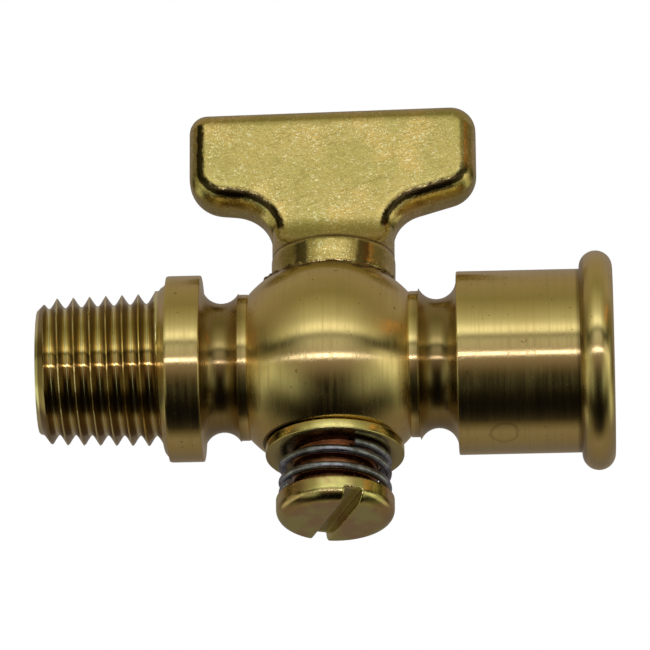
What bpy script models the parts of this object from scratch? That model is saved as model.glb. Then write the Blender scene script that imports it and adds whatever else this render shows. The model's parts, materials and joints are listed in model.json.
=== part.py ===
"""Brass plug cock with a pipe thread, a spring-loaded taper plug with a T handle, and a priming cup.

The flow line is the X axis. The origin is on it, in the plane where the collar starts. The thread runs
towards -X and the cup opens towards +X. The plug stands across the flow line, with its handle up (+Z).
The handle lies along the flow line, so the cock is open.
"""

import math

import bmesh
import bpy
from mathutils import Matrix, Vector

MM = 0.001

# Driving dimensions of the body, along the flow line and from its centre.
THREAD_LENGTH = 11.4 * MM
THREAD_PITCH = 25.4 / 18 * MM
THREAD_LARGE_RADIUS = 6.86 * MM
THREAD_TAPER = 1 / 32
THREAD_DEPTH = 1.05 * MM
THREAD_ROOT_FLAT = 0.12 * MM
THREAD_FACE_RADIUS = 5.3 * MM
THREAD_CREST_AT_TOP = -9.67 * MM
THREAD_TOP_ANGLE = math.radians(115)
THREAD_RUN_OUT_TURNS = 0.4
THREAD_RUN_OUT_GAP = 0.05 * MM
COLLAR_WIDTH = 2.9 * MM
COLLAR_RADIUS = 8.1 * MM
COLLAR_CONE = 0.8 * MM
NECK_RADIUS = 5.6 * MM
NECK_HOLLOW = 1.72 * MM
RING_RADIUS = 6.35 * MM
RING_WIDTH = 0.8 * MM
RING_TO_AXIS = 7.0 * MM
BALL_RADIUS = 9.38 * MM
BALL_X = 13.9 * MM
PLUG_X = 14.3 * MM
CUP_START = 25.0 * MM
CUP_RADIUS = 7.97 * MM
BEAD_ROUND = 1.45 * MM
BEAD_RADIUS = 9.525 * MM
BODY_END = 38.55 * MM
CUP_BORE_RADIUS = 6.6 * MM
CUP_DEPTH = 11.2 * MM
CUP_FLOOR_ANGLE = math.radians(31)
INLET_RADIUS = 3.2 * MM
OUTLET_RADIUS = 2.8 * MM
EDGE_BREAK = 0.15 * MM

# Driving dimensions of the plug and its handle, above and below the flow line.
TOP_SPOTFACE = 7.2 * MM
BOTTOM_SPOTFACE = -7.45 * MM
SPOTFACE_RADIUS = 6.7 * MM
TAPER_TOP_RADIUS = 4.75 * MM
TAPER_BOTTOM_RADIUS = 3.85 * MM
PORT_RADIUS = 2.6 * MM
RUNNING_GAP = 0.05 * MM
BASE_RADIUS = 5.4 * MM
BASE_LOW = 7.55 * MM
BASE_HIGH = 9.75 * MM
BASE_HOLLOW = 3.3 * MM
BASE_RIM = 0.2 * MM
HANDLE_TOP = 24.4 * MM
HANDLE_HALF_WIDTH = 12.6 * MM
HANDLE_THICKNESS = 4.8 * MM
HANDLE_EDGE = 1.6 * MM
EAR_UNDERSIDE = 15.15 * MM
EAR_HOLLOW = 4.1 * MM
EAR_LOWER_CORNER = 3.2 * MM
EAR_UPPER_CORNER = 1.8 * MM
POST_RADIUS = 3.7 * MM
POST_FLAT = 3.0 * MM
POST_STEP = 0.1 * MM
POST_END = -12.25 * MM

# Driving dimensions of the washer, the spring and the screw.
WASHER_RADIUS = 6.0 * MM
WASHER_HIGH = -7.65 * MM
WASHER_THICKNESS = 0.95 * MM
WASHER_GAP = 0.15 * MM
WASHER_BEVEL = 0.1 * MM
SPRING_RADIUS = 4.54 * MM
SPRING_WIRE_RADIUS = 0.36 * MM
SPRING_START_ANGLE = math.radians(-67)
SPRING_TURNS = 2.78
SPRING_GAP = 0.08 * MM
SPRING_EASE = 0.55
HEAD_RADIUS = 5.12 * MM
HEAD_HIGH = -12.55 * MM
HEAD_LOW = -14.7 * MM
HEAD_ROUND = 1.1 * MM
SLOT_WIDTH = 1.5 * MM
SLOT_DEPTH = 1.1 * MM
SLOT_ANGLE = math.radians(20)
SCREW_PITCH = 25.4 / 24 * MM
SCREW_RADIUS = 2.41 * MM
SCREW_THREAD_DEPTH = 0.62 * MM
SCREW_ROOT_FLAT = 0.12
INNER_THREAD_SINK = 0.05 * MM
SCREW_TIP = -6.3 * MM
SCREW_HOLE_TOP = -4.6 * MM
SCREW_HOLE_POINT = 0.6
SCREW_GAP = 0.08 * MM
SCREW_RELIEF = 0.9 * MM

TURNED_STEPS = 40
SMALL_STEPS = 28
THREAD_STEPS = 24
SCREW_STEPS = 16
OVERSHOOT = 1.0 * MM

# Half the width of a groove's mouth, as a part of the pitch. It leaves a narrow flat on each crest.
PIPE_GROOVE_MOUTH = 0.48
SCREW_GROOVE_MOUTH = 0.47
INNER_GROOVE_MOUTH = 0.485
GROOVE_OVERSHOOT = 0.3 * MM

Z_TO_X = Matrix(((0, 0, 1, 0), (1, 0, 0, 0), (0, 1, 0, 0), (0, 0, 0, 1)))


def clear_scene():
    for obj in list(bpy.data.objects):
        bpy.data.objects.remove(obj, do_unlink=True)


def make_material(name, colour, roughness):
    """A metal with one colour and roughness."""
    material = bpy.data.materials.new(name)
    material.use_nodes = True
    shader = material.node_tree.nodes["Principled BSDF"]
    shader.inputs["Base Color"].default_value = (*colour, 1)
    shader.inputs["Metallic"].default_value = 1.0
    shader.inputs["Roughness"].default_value = roughness
    return material


def add_object(name, mesh_builder, parent=None, material=None):
    """An object from a filled bmesh. Without a material it is a cutter or a guide."""
    bmesh.ops.recalc_face_normals(mesh_builder, faces=mesh_builder.faces)
    mesh = bpy.data.meshes.new(name)
    mesh_builder.to_mesh(mesh)
    mesh_builder.free()
    obj = bpy.data.objects.new(name, mesh)
    bpy.context.scene.collection.objects.link(obj)
    obj.parent = parent
    if material:
        mesh.materials.append(material)
        mesh.shade_smooth()
        mesh.set_sharp_from_angle(angle=math.radians(30))
    else:
        obj.hide_render = True
        obj.display_type = "WIRE"
    return obj


def boolean(obj, other, operation="DIFFERENCE", solver="EXACT"):
    modifier = obj.modifiers.new(other.name, "BOOLEAN")
    modifier.operation = operation
    modifier.object = other
    modifier.solver = solver


def arc(centre, radius, start, end, steps):
    """Points on an arc in degrees, both ends included."""
    angles = [math.radians(start + (end - start) * i / steps) for i in range(steps + 1)]
    return [(centre[0] + radius * math.cos(a), centre[1] + radius * math.sin(a)) for a in angles]


def turned(outline, steps, turn=None):
    """A solid of revolution about Z from a closed outline of (height, radius) points.

    An outline that starts and ends on the axis makes a solid, and any other makes a ring.
    """
    build = bmesh.new()
    rings = []
    for height, radius in outline:
        if radius < 1e-9:
            rings.append([build.verts.new((0, 0, height))] * steps)
            continue
        ring = []
        for k in range(steps):
            angle = 2 * math.pi * k / steps
            ring.append(build.verts.new((radius * math.cos(angle), radius * math.sin(angle), height)))
        rings.append(ring)
    solid = outline[0][1] < 1e-9
    for i in range(len(rings) - solid):
        first, second = rings[i], rings[(i + 1) % len(rings)]
        for k in range(steps):
            n = (k + 1) % steps
            corners = list(dict.fromkeys((first[k], first[n], second[n], second[k])))
            build.faces.new(corners)
    if turn:
        build.transform(turn)
    return build


def helical_bar(section, lead, first_turn, last_turn, steps, root_radius):
    """A closed bar that winds about Z.

    The section's points are (along the axis, outwards from root_radius), and root_radius is a function
    of the number of turns.
    """
    build = bmesh.new()
    count = round((last_turn - first_turn) * steps)
    rows = []
    for i in range(count + 1):
        turns = first_turn + i / steps
        angle = 2 * math.pi * turns
        row = []
        for along, out in section:
            radius = root_radius(turns) + out
            row.append(
                build.verts.new((radius * math.cos(angle), radius * math.sin(angle), lead * turns + along))
            )
        rows.append(row)
    for first, second in zip(rows, rows[1:]):
        for k in range(len(section)):
            n = (k + 1) % len(section)
            build.faces.new((first[k], first[n], second[n], second[k]))
    build.faces.new(rows[0])
    build.faces.new(rows[-1])
    return build


def extruded(points, low, high, place):
    """A prism from a closed outline. place turns (u, v, height) into x, y, z."""
    build = bmesh.new()
    ends = [[build.verts.new(place(u, v, height)) for u, v in points] for height in (low, high)]
    build.faces.new(ends[0])
    build.faces.new(ends[1])
    for i in range(len(points)):
        n = (i + 1) % len(points)
        build.faces.new((ends[0][i], ends[0][n], ends[1][n], ends[1][i]))
    return build


def upright(u, v, z):
    """The place of a prism whose outline lies flat."""
    return (u, v, z)


def thread_blank_radius(x):
    return THREAD_LARGE_RADIUS + THREAD_TAPER * x


def neck(centre_x, start, end, steps):
    """The hollow turned between a ring and its neighbour."""
    return arc((centre_x, NECK_RADIUS + NECK_HOLLOW), NECK_HOLLOW, start, end, steps)


def body_outline():
    """The turned body in half section: outside from the thread to the cup, then back along the bore."""
    chamfer = thread_blank_radius(-THREAD_LENGTH) - THREAD_FACE_RADIUS
    left_neck_x = COLLAR_WIDTH + NECK_HOLLOW
    right_neck_x = CUP_START - NECK_HOLLOW
    ring_outer = RING_TO_AXIS + RING_WIDTH
    ring_side = math.degrees(math.asin((BALL_X - ring_outer - left_neck_x) / NECK_HOLLOW))
    right_side = math.degrees(math.asin((right_neck_x - BALL_X - ring_outer) / NECK_HOLLOW))
    ball_side = math.degrees(math.acos(RING_TO_AXIS / BALL_RADIUS))
    bead_centre = (BODY_END - BEAD_ROUND, BEAD_RADIUS - BEAD_ROUND)
    points = [
        (-THREAD_LENGTH, INLET_RADIUS + EDGE_BREAK),
        (-THREAD_LENGTH, THREAD_FACE_RADIUS),
        (-THREAD_LENGTH + chamfer, thread_blank_radius(-THREAD_LENGTH + chamfer)),
        (-COLLAR_CONE, thread_blank_radius(-COLLAR_CONE)),
        (0, COLLAR_RADIUS - EDGE_BREAK),
        (EDGE_BREAK, COLLAR_RADIUS),
        (COLLAR_WIDTH - EDGE_BREAK, COLLAR_RADIUS),
        (COLLAR_WIDTH, COLLAR_RADIUS - EDGE_BREAK),
    ]
    points += neck(left_neck_x, 180, 270 + ring_side, 5)
    points += [(BALL_X - ring_outer, RING_RADIUS), (BALL_X - RING_TO_AXIS, RING_RADIUS)]
    points += arc((BALL_X, 0), BALL_RADIUS, 180 - ball_side, ball_side, 12)
    points += [(BALL_X + RING_TO_AXIS, RING_RADIUS), (BALL_X + ring_outer, RING_RADIUS)]
    points += neck(right_neck_x, 270 - right_side, 360, 5)
    points += [
        (CUP_START, CUP_RADIUS - EDGE_BREAK),
        (CUP_START + EDGE_BREAK, CUP_RADIUS),
        (BODY_END - 2 * BEAD_ROUND, CUP_RADIUS),
    ]
    points += arc(bead_centre, BEAD_ROUND, 180, 0, 6)
    cone_depth = (CUP_BORE_RADIUS - OUTLET_RADIUS) * math.tan(CUP_FLOOR_ANGLE)
    points += [
        (BODY_END, CUP_BORE_RADIUS + EDGE_BREAK),
        (BODY_END - EDGE_BREAK, CUP_BORE_RADIUS),
        (BODY_END - CUP_DEPTH, CUP_BORE_RADIUS),
        (BODY_END - CUP_DEPTH - cone_depth, OUTLET_RADIUS),
        (BALL_X, OUTLET_RADIUS),
        (BALL_X, INLET_RADIUS),
        (-THREAD_LENGTH + EDGE_BREAK, INLET_RADIUS),
    ]
    return points


def groove_section(half_flat, half_mouth):
    """A 60 degree V with a flat root, carried on outwards with parallel sides past the crests."""
    height = (half_mouth - half_flat) / math.tan(math.radians(30))
    far = height + GROOVE_OVERSHOOT
    right = [(half_flat, 0), (half_mouth, height), (half_mouth, far)]
    return right + [(-along, out) for along, out in reversed(right)]


def pipe_thread_cutter():
    """The V groove of the taper thread, which starts off the end face and runs out at the collar."""
    section = groove_section(THREAD_ROOT_FLAT / 2, PIPE_GROOVE_MOUTH * THREAD_PITCH)
    groove_at_zero = THREAD_CREST_AT_TOP + THREAD_PITCH * (0.5 - THREAD_TOP_ANGLE / (2 * math.pi))
    first_turn = math.floor((-THREAD_LENGTH - OVERSHOOT - groove_at_zero) / THREAD_PITCH)
    last_turn = (-COLLAR_CONE - THREAD_RUN_OUT_GAP - groove_at_zero) / THREAD_PITCH

    def root_radius(turns):
        x = groove_at_zero + THREAD_PITCH * turns
        run_out = max(0.0, 1 + (turns - last_turn) / THREAD_RUN_OUT_TURNS)
        return thread_blank_radius(x) - THREAD_DEPTH * (1 - run_out)

    bar = helical_bar(section, THREAD_PITCH, first_turn, last_turn, THREAD_STEPS, root_radius)
    bar.transform(Z_TO_X @ Matrix.Translation((0, 0, groove_at_zero)))
    return bar


def make_body(plug_axis, brass):
    body = add_object("valve_body", turned(body_outline(), TURNED_STEPS, Z_TO_X), material=brass)
    cutters = [add_object("pipe_thread_cutter", pipe_thread_cutter())]
    slope = (TAPER_TOP_RADIUS - TAPER_BOTTOM_RADIUS) / (TOP_SPOTFACE - BOTTOM_SPOTFACE)
    low = BOTTOM_SPOTFACE - 2 * OVERSHOOT
    high = TOP_SPOTFACE + 2 * OVERSHOOT
    hole = [
        (low, 0),
        (low, TAPER_BOTTOM_RADIUS + RUNNING_GAP - slope * 2 * OVERSHOOT),
        (high, TAPER_TOP_RADIUS + RUNNING_GAP + slope * 2 * OVERSHOOT),
        (high, 0),
    ]
    cutters.append(add_object("taper_hole_cutter", turned(hole, TURNED_STEPS), plug_axis))
    for name, face, side in (("top", TOP_SPOTFACE, 1), ("bottom", BOTTOM_SPOTFACE, -1)):
        far = side * (BALL_RADIUS + OVERSHOOT)
        disc = [(face, 0), (face, SPOTFACE_RADIUS), (far, SPOTFACE_RADIUS), (far, 0)]
        cutters.append(add_object(name + "_spotface_cutter", turned(disc, SMALL_STEPS), plug_axis))
    for cutter in cutters:
        boolean(body, cutter, solver="MANIFOLD")


def handle_outline():
    """Half of the T handle's outline as (x, z), from the neck up to the middle of its top edge."""
    neck_half = HANDLE_HALF_WIDTH - EAR_LOWER_CORNER - EAR_HOLLOW
    hollow_x = HANDLE_HALF_WIDTH - EAR_LOWER_CORNER
    points = [(neck_half, BASE_HIGH - EDGE_BREAK)]
    points += arc((hollow_x, EAR_UNDERSIDE - EAR_HOLLOW), EAR_HOLLOW, 180, 90, 8)
    points += arc((hollow_x, EAR_UNDERSIDE + EAR_LOWER_CORNER), EAR_LOWER_CORNER, 270, 360, 5)[1:]
    corner = (HANDLE_HALF_WIDTH - EAR_UPPER_CORNER, HANDLE_TOP - EAR_UPPER_CORNER)
    points += arc(corner, EAR_UPPER_CORNER, 0, 90, 5)
    return points


def blade():
    right = handle_outline()
    outline = right + [(-x, z) for x, z in reversed(right)]
    half = HANDLE_THICKNESS / 2
    return extruded(outline, -half, half, lambda u, v, y: (u, y, v))


def plug_outline():
    """The plug in half section as (z, radius), from the handle's root down to the end of the post."""
    face = HANDLE_THICKNESS / 2
    hollow_high = BASE_HIGH + 2 * BASE_RIM + BASE_HOLLOW
    hollow = arc((hollow_high, face + BASE_HOLLOW), BASE_HOLLOW, 270, 193, 6)
    return (
        [(hollow_high, 0)]
        + hollow
        + [
            (BASE_HIGH + BASE_RIM, BASE_RADIUS - EDGE_BREAK),
            (BASE_HIGH, BASE_RADIUS),
            (BASE_LOW, BASE_RADIUS),
            (BASE_LOW, TAPER_TOP_RADIUS),
            (BOTTOM_SPOTFACE, TAPER_BOTTOM_RADIUS),
            (BOTTOM_SPOTFACE, POST_RADIUS),
            (POST_END + EDGE_BREAK, POST_RADIUS),
            (POST_END, POST_RADIUS - EDGE_BREAK),
            (POST_END, 0),
        ]
    )


def make_plug(plug_axis, brass):
    plug = add_object("plug_handle", turned(plug_outline(), TURNED_STEPS), plug_axis, brass)
    handle = add_object("handle_blade", blade(), plug_axis)
    bevel = handle.modifiers.new("edges", "BEVEL")
    bevel.width = HANDLE_EDGE
    bevel.segments = 4
    bevel.limit_method = "ANGLE"
    bevel.angle_limit = math.radians(60)
    boolean(plug, handle, "UNION")
    reach = BASE_RADIUS + OVERSHOOT
    port = [(-reach, 0), (-reach, PORT_RADIUS), (reach, PORT_RADIUS), (reach, 0)]
    boolean(plug, add_object("port_cutter", turned(port, SMALL_STEPS, Z_TO_X), plug_axis))
    flat = [(-reach, POST_FLAT), (reach, POST_FLAT), (reach, reach), (-reach, reach)]
    flat_cutter = extruded(flat, POST_END - OVERSHOOT, BOTTOM_SPOTFACE - POST_STEP, upright)
    boolean(plug, add_object("post_flat_cutter", flat_cutter, plug_axis))
    minor = SCREW_RADIUS - SCREW_THREAD_DEPTH + SCREW_GAP
    hole = [
        (POST_END - OVERSHOOT, 0),
        (POST_END - OVERSHOOT, minor),
        (SCREW_HOLE_TOP, minor),
        (SCREW_HOLE_TOP + SCREW_HOLE_POINT * minor, 0),
    ]
    boolean(plug, add_object("screw_hole_cutter", turned(hole, SCREW_STEPS), plug_axis))
    boolean(plug, add_object("inner_thread_cutter", inner_thread_cutter(), plug_axis))


def inner_thread_cutter():
    """The V groove in the post's hole, which the screw's crests run in."""
    wide = INNER_GROOVE_MOUTH * SCREW_PITCH
    depth = SCREW_THREAD_DEPTH + INNER_THREAD_SINK
    narrow = wide - depth * math.tan(math.radians(30))
    section = [(-wide, 0), (-narrow, depth), (narrow, depth), (wide, 0)]
    inner = SCREW_RADIUS + SCREW_GAP - depth
    first = math.floor((POST_END - OVERSHOOT) / SCREW_PITCH)
    last = (SCREW_HOLE_TOP - SCREW_PITCH) / SCREW_PITCH
    return helical_bar(section, SCREW_PITCH, first, last, SCREW_STEPS, lambda turns: inner)


def screw_thread_cutter():
    """The V groove of the tension screw, half a pitch away from its crests."""
    half_mouth = SCREW_GROOVE_MOUTH * SCREW_PITCH
    section = groove_section(SCREW_ROOT_FLAT * SCREW_PITCH / 2, half_mouth)
    root = SCREW_RADIUS - SCREW_THREAD_DEPTH
    first = (HEAD_HIGH + half_mouth) / SCREW_PITCH - 0.5
    last = (SCREW_TIP + OVERSHOOT) / SCREW_PITCH
    bar = helical_bar(section, SCREW_PITCH, first, last, SCREW_STEPS, lambda turns: root)
    bar.transform(Matrix.Translation((0, 0, 0.5 * SCREW_PITCH)))
    return bar


def make_washer(plug_axis, brass):
    low = WASHER_HIGH - WASHER_THICKNESS
    disc = [
        (low, 0),
        (low, WASHER_RADIUS - WASHER_BEVEL),
        (low + WASHER_BEVEL, WASHER_RADIUS),
        (WASHER_HIGH - WASHER_BEVEL, WASHER_RADIUS),
        (WASHER_HIGH, WASHER_RADIUS - WASHER_BEVEL),
        (WASHER_HIGH, 0),
    ]
    washer = add_object("key_washer", turned(disc, TURNED_STEPS), plug_axis, brass)
    radius = POST_RADIUS + WASHER_GAP
    flat = POST_FLAT + WASHER_GAP
    side = math.degrees(math.asin(flat / radius))
    outline = arc((0, 0), radius, 180 - side, 360 + side, SMALL_STEPS)
    hole = extruded(outline, low - OVERSHOOT, WASHER_HIGH + OVERSHOOT, upright)
    boolean(washer, add_object("keyed_hole_cutter", hole, plug_axis))


def spring_height(fraction):
    """The wire's middle at a fraction of its length. The end turns lie closer than the middle ones."""
    high = WASHER_HIGH - WASHER_THICKNESS - SPRING_GAP - SPRING_WIRE_RADIUS
    low = HEAD_HIGH + SPRING_GAP + SPRING_WIRE_RADIUS
    eased = fraction - SPRING_EASE * math.sin(2 * math.pi * fraction) / (2 * math.pi)
    return high + (low - high) * eased


def make_spring(screw_axis, steel):
    """A round wire wound left-handed from the washer down to the screw's head."""
    build = bmesh.new()
    turn_steps = 20
    sides = 8
    count = round(SPRING_TURNS * turn_steps)
    rows = []
    for i in range(count + 1):
        fraction = i / count
        angle = SPRING_START_ANGLE + 2 * math.pi * SPRING_TURNS * fraction
        out = Vector((math.cos(angle), math.sin(angle), 0))
        middle = SPRING_RADIUS * out + Vector((0, 0, spring_height(fraction)))
        row = []
        for k in range(sides):
            side = 2 * math.pi * (k + 0.5) / sides
            offset = SPRING_WIRE_RADIUS * (math.cos(side) * out + math.sin(side) * Vector((0, 0, 1)))
            row.append(build.verts.new(middle + offset))
        rows.append(row)
    for first, second in zip(rows, rows[1:]):
        for k in range(sides):
            n = (k + 1) % sides
            build.faces.new((first[k], first[n], second[n], second[k]))
    build.faces.new(rows[0])
    build.faces.new(rows[-1])
    add_object("tension_spring", build, screw_axis, steel)


def screw_outline():
    """The screw in half section as (z, radius), from its tip down to the middle of its head."""
    relief = SCREW_RADIUS - SCREW_THREAD_DEPTH
    chamfer = 0.5 * SCREW_THREAD_DEPTH
    return [
        (SCREW_TIP, 0),
        (SCREW_TIP, SCREW_RADIUS - SCREW_THREAD_DEPTH),
        (SCREW_TIP - chamfer, SCREW_RADIUS),
        (HEAD_HIGH + SCREW_RELIEF + chamfer, SCREW_RADIUS),
        (HEAD_HIGH + SCREW_RELIEF, relief),
        (HEAD_HIGH, relief),
        (HEAD_HIGH, HEAD_RADIUS - EDGE_BREAK),
        (HEAD_HIGH - EDGE_BREAK, HEAD_RADIUS),
        *arc((HEAD_LOW + HEAD_ROUND, HEAD_RADIUS - HEAD_ROUND), HEAD_ROUND, 90, 180, 4),
        (HEAD_LOW, 0),
    ]


def make_screw(screw_axis, brass):
    screw = add_object("tension_screw", turned(screw_outline(), SMALL_STEPS), screw_axis, brass)
    boolean(screw, add_object("screw_thread_cutter", screw_thread_cutter(), screw_axis))
    half = SLOT_WIDTH / 2
    reach = HEAD_RADIUS + OVERSHOOT
    slot = [(-half, -reach), (half, -reach), (half, reach), (-half, reach)]
    cutter = extruded(slot, HEAD_LOW - OVERSHOOT, HEAD_LOW + SLOT_DEPTH, upright)
    cutter.transform(Matrix.Rotation(SLOT_ANGLE, 4, "Z"))
    boolean(screw, add_object("slot_cutter", cutter, screw_axis))


def add_axis(name, location):
    empty = bpy.data.objects.new(name, None)
    empty.location = location
    bpy.context.scene.collection.objects.link(empty)
    return empty


def main():
    clear_scene()
    plug_axis = add_axis("plug_axis", (PLUG_X, 0, 0))
    screw_axis = add_axis("screw_axis", (PLUG_X, 0, 0))
    bpy.context.view_layer.update()
    make_body(plug_axis, make_material("turned_brass", (0.62, 0.43, 0.16), 0.28))
    make_plug(plug_axis, make_material("forged_brass", (0.66, 0.48, 0.16), 0.32))
    make_washer(plug_axis, make_material("washer_brass", (0.62, 0.50, 0.18), 0.25))
    make_spring(screw_axis, make_material("spring_steel", (0.52, 0.52, 0.53), 0.3))
    make_screw(screw_axis, make_material("screw_brass", (0.64, 0.52, 0.16), 0.25))


main()
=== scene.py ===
"""Brass plug cock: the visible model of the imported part, with its materials, studio and camera.

The flow line is the X axis, with the pipe thread towards -X and the priming cup towards +X. The plug
stands on the Z axis through PLUG_X, with its T handle up. Lengths are in metres.
"""

import json
import math

import bmesh
import bpy
import numpy as np
import openvdb
from mathutils import Matrix, Vector, noise


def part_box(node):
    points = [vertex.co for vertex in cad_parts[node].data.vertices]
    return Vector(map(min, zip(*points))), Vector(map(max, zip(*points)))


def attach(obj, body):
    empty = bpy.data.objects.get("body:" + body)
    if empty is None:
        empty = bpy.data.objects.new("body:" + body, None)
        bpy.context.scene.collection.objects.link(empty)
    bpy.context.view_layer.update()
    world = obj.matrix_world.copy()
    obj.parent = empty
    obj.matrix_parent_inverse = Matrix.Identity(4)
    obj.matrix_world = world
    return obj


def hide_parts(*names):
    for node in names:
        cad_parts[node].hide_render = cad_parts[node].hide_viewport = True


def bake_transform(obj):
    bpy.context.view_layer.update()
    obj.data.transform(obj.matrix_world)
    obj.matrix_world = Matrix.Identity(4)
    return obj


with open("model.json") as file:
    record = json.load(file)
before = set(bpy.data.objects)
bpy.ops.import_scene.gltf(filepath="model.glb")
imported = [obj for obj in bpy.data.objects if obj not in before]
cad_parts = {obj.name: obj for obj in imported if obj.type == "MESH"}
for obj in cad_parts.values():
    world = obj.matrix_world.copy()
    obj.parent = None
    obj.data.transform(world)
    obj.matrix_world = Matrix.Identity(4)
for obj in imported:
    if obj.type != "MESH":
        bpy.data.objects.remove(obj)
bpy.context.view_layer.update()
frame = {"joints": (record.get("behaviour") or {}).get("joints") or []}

MM = 0.001


def joint_place(name):
    """Where a hinge's axis stands."""
    return next(Vector(joint["pos_m"]) for joint in frame["joints"] if joint["name"] == name)


# Places and sizes read from the frame.
BODY_LOW, BODY_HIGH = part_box("valve_body")
PLUG_LOW, PLUG_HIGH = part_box("plug_handle")
WASHER_LOW, WASHER_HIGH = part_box("key_washer")
SPRING_LOW, SPRING_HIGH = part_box("tension_spring")
SCREW_LOW, SCREW_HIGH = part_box("tension_screw")
PLUG_X = joint_place("handle_turn").x

# The body, along the flow line and from its centre.
THREAD_PITCH = 25.4 / 18 * MM
THREAD_LARGE_RADIUS = 6.86 * MM
THREAD_TAPER = 1 / 32
THREAD_DEPTH = 1.06 * MM
THREAD_ROOT_ROUND = 0.2 * MM
THREAD_CREST_ROUND = 0.2 * MM
THREAD_HALF_ANGLE = math.radians(30)
THREAD_RAGGED = 0.02 * MM
RAGGED_DEPTH = 0.3 * MM
RAGGED_WAVES = ((37, 5), (11, 3))
THREAD_FACE_RADIUS = 5.3 * MM
THREAD_CREST_AT_TOP = -9.67 * MM
THREAD_TOP_TURN = 115 / 360
THREAD_RUN_OUT_TURNS = 0.4
THREAD_RUN_OUT_GAP = 0.05 * MM
COLLAR_WIDTH = 2.9 * MM
COLLAR_RADIUS = 8.1 * MM
COLLAR_CONE = 0.8 * MM
COLLAR_EDGE = 0.04 * MM
NECK_RADIUS = 5.6 * MM
NECK_HOLLOW = 1.72 * MM
RING_RADIUS = 6.35 * MM
RING_WIDTH = 0.8 * MM
RING_TO_AXIS = 7.0 * MM
BALL_RADIUS = 9.38 * MM
BALL_X = 13.9 * MM
CUP_START = 25.0 * MM
CUP_RADIUS = 7.97 * MM
BEAD_ROUND = 1.45 * MM
CUP_BORE_RADIUS = 6.6 * MM
CUP_DEPTH = 11.2 * MM
CUP_FLOOR_ANGLE = math.radians(31)
INLET_RADIUS = 3.2 * MM
OUTLET_RADIUS = 2.8 * MM
EDGE_ROUND = 0.16 * MM
TOP_SPOTFACE = 7.2 * MM
BOTTOM_SPOTFACE = -7.45 * MM
SPOTFACE_RADIUS = 6.7 * MM
BURR_HEIGHT = 0.3 * MM
BURR_LENGTH = 0.7 * MM
BURR_LEVEL_MARGIN = 0.03 * MM
BURR_EDGE_MARGIN = 0.05 * MM
BURR_LEAST = 0.12
BURR_USUAL = 0.35

# The plug and its handle.
TAPER_TOP_RADIUS = 4.75 * MM
TAPER_BOTTOM_RADIUS = 3.85 * MM
RUNNING_GAP = 0.05 * MM
PORT_RADIUS = 2.6 * MM
BASE_RADIUS = 5.4 * MM
BASE_LOW = 7.55 * MM
BASE_HIGH = 9.95 * MM
BASE_COVE = 3.2 * MM
HANDLE_THICKNESS = 4.8 * MM
HANDLE_EDGE = 2.1 * MM
FACE_CREASE = math.radians(18)
FACE_CREASE_ROUND = 0.12 * MM
NECK_HALF_WIDTH = 5.3 * MM
COVE_TO_BASE_EDGE = 0.05 * MM
BASE_CREASE_ROUND = 0.12 * MM
# Each ear's underside height, its slope in degrees, its three radii and its drop below the handle's top.
RIGHT_EAR = (14.75 * MM, 17, 3.2 * MM, 2.8 * MM, 2.2 * MM, 0)
LEFT_EAR = (14.9 * MM, 6, 3.6 * MM, 3.2 * MM, 1.6 * MM, 0.35 * MM)
POST_RADIUS = 3.7 * MM
POST_FLAT = 3.0 * MM
POST_STEP = 0.1 * MM

# The washer, the spring and the screw.
WASHER_GAP = 0.15 * MM
SPRING_START_TURN = -67 / 360
SPRING_TURNS = 2.78
SPRING_WIRE_RADIUS = 0.36 * MM
SPRING_RADIUS = 4.54 * MM
SPRING_EASE = 0.55
HEAD_RADIUS = 5.12 * MM
HEAD_HIGH = -12.55 * MM
HEAD_ROUND = 1.1 * MM
SLOT_WIDTH = 1.5 * MM
SLOT_DEPTH = 1.1 * MM
SLOT_ANGLE = math.radians(20)
SLOT_EDGE_ROUND = 0.12 * MM
SCREW_PITCH = 25.4 / 24 * MM
SCREW_RADIUS = 2.41 * MM
SCREW_THREAD_DEPTH = 0.62 * MM
SCREW_RELIEF = 0.9 * MM
SCREW_GAP = 0.08 * MM
SCREW_CREST_FLAT = 0.12 * MM
SCREW_NECK_OVERLAP = 0.3 * MM
SCREW_ROD_OVERLAP = 0.1 * MM
SCREW_HOLE_TOP = -4.6 * MM

# How finely the shapes are built.
BODY_STEPS = 288
SMALL_STEPS = 160
HOLE_STEPS = 64
THREAD_ROWS = 16
SCREW_THREAD_ROWS = 12
SCREW_STEPS = 96
NECK_STEPS = 14
CORNER_STEPS = 3
LEAST_CORNER = 18
BALL_STEPS = 64
BEAD_STEPS = 20
EAR_STEPS = 16
EAR_TOP_STEPS = 12
SPRING_SIDES = 20
SPRING_STEPS_A_TURN = 72
HANDLE_CELL = 0.16 * MM
HANDLE_REACH_X = 14.5 * MM
HANDLE_REACH_Y = 7 * MM
HEAD_CELL = 0.11 * MM
HEAD_MARGIN = 0.5 * MM
OVERSHOOT = 1.0 * MM
WELD = 0.002 * MM
ON_AXIS = 1e-9
ALMOST_CLOSED = 1e-7
MOST_OF_A_SIDE = 0.45
DISTANCE_CELLS = 3.0

Z_TO_X = Matrix(((0, 0, 1, 0), (1, 0, 0, 0), (0, 1, 0, 0), (0, 0, 0, 1)))


# Shapes.


def smooth(obj, sharp=35):
    """Smooth faces, with an edge kept wherever they turn by more than sharp degrees."""
    obj.data.shade_smooth()
    obj.data.set_sharp_from_angle(angle=math.radians(sharp))


def mesh_object(name, build, material=None, sharp=35):
    """An object from a bmesh. Without a material it is a cutter, which is removed once it is used."""
    bmesh.ops.recalc_face_normals(build, faces=build.faces)
    mesh = bpy.data.meshes.new(name)
    build.to_mesh(mesh)
    build.free()
    obj = bpy.data.objects.new(name, mesh)
    bpy.context.scene.collection.objects.link(obj)
    if material:
        mesh.materials.append(material)
    smooth(obj, sharp)
    return obj


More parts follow.
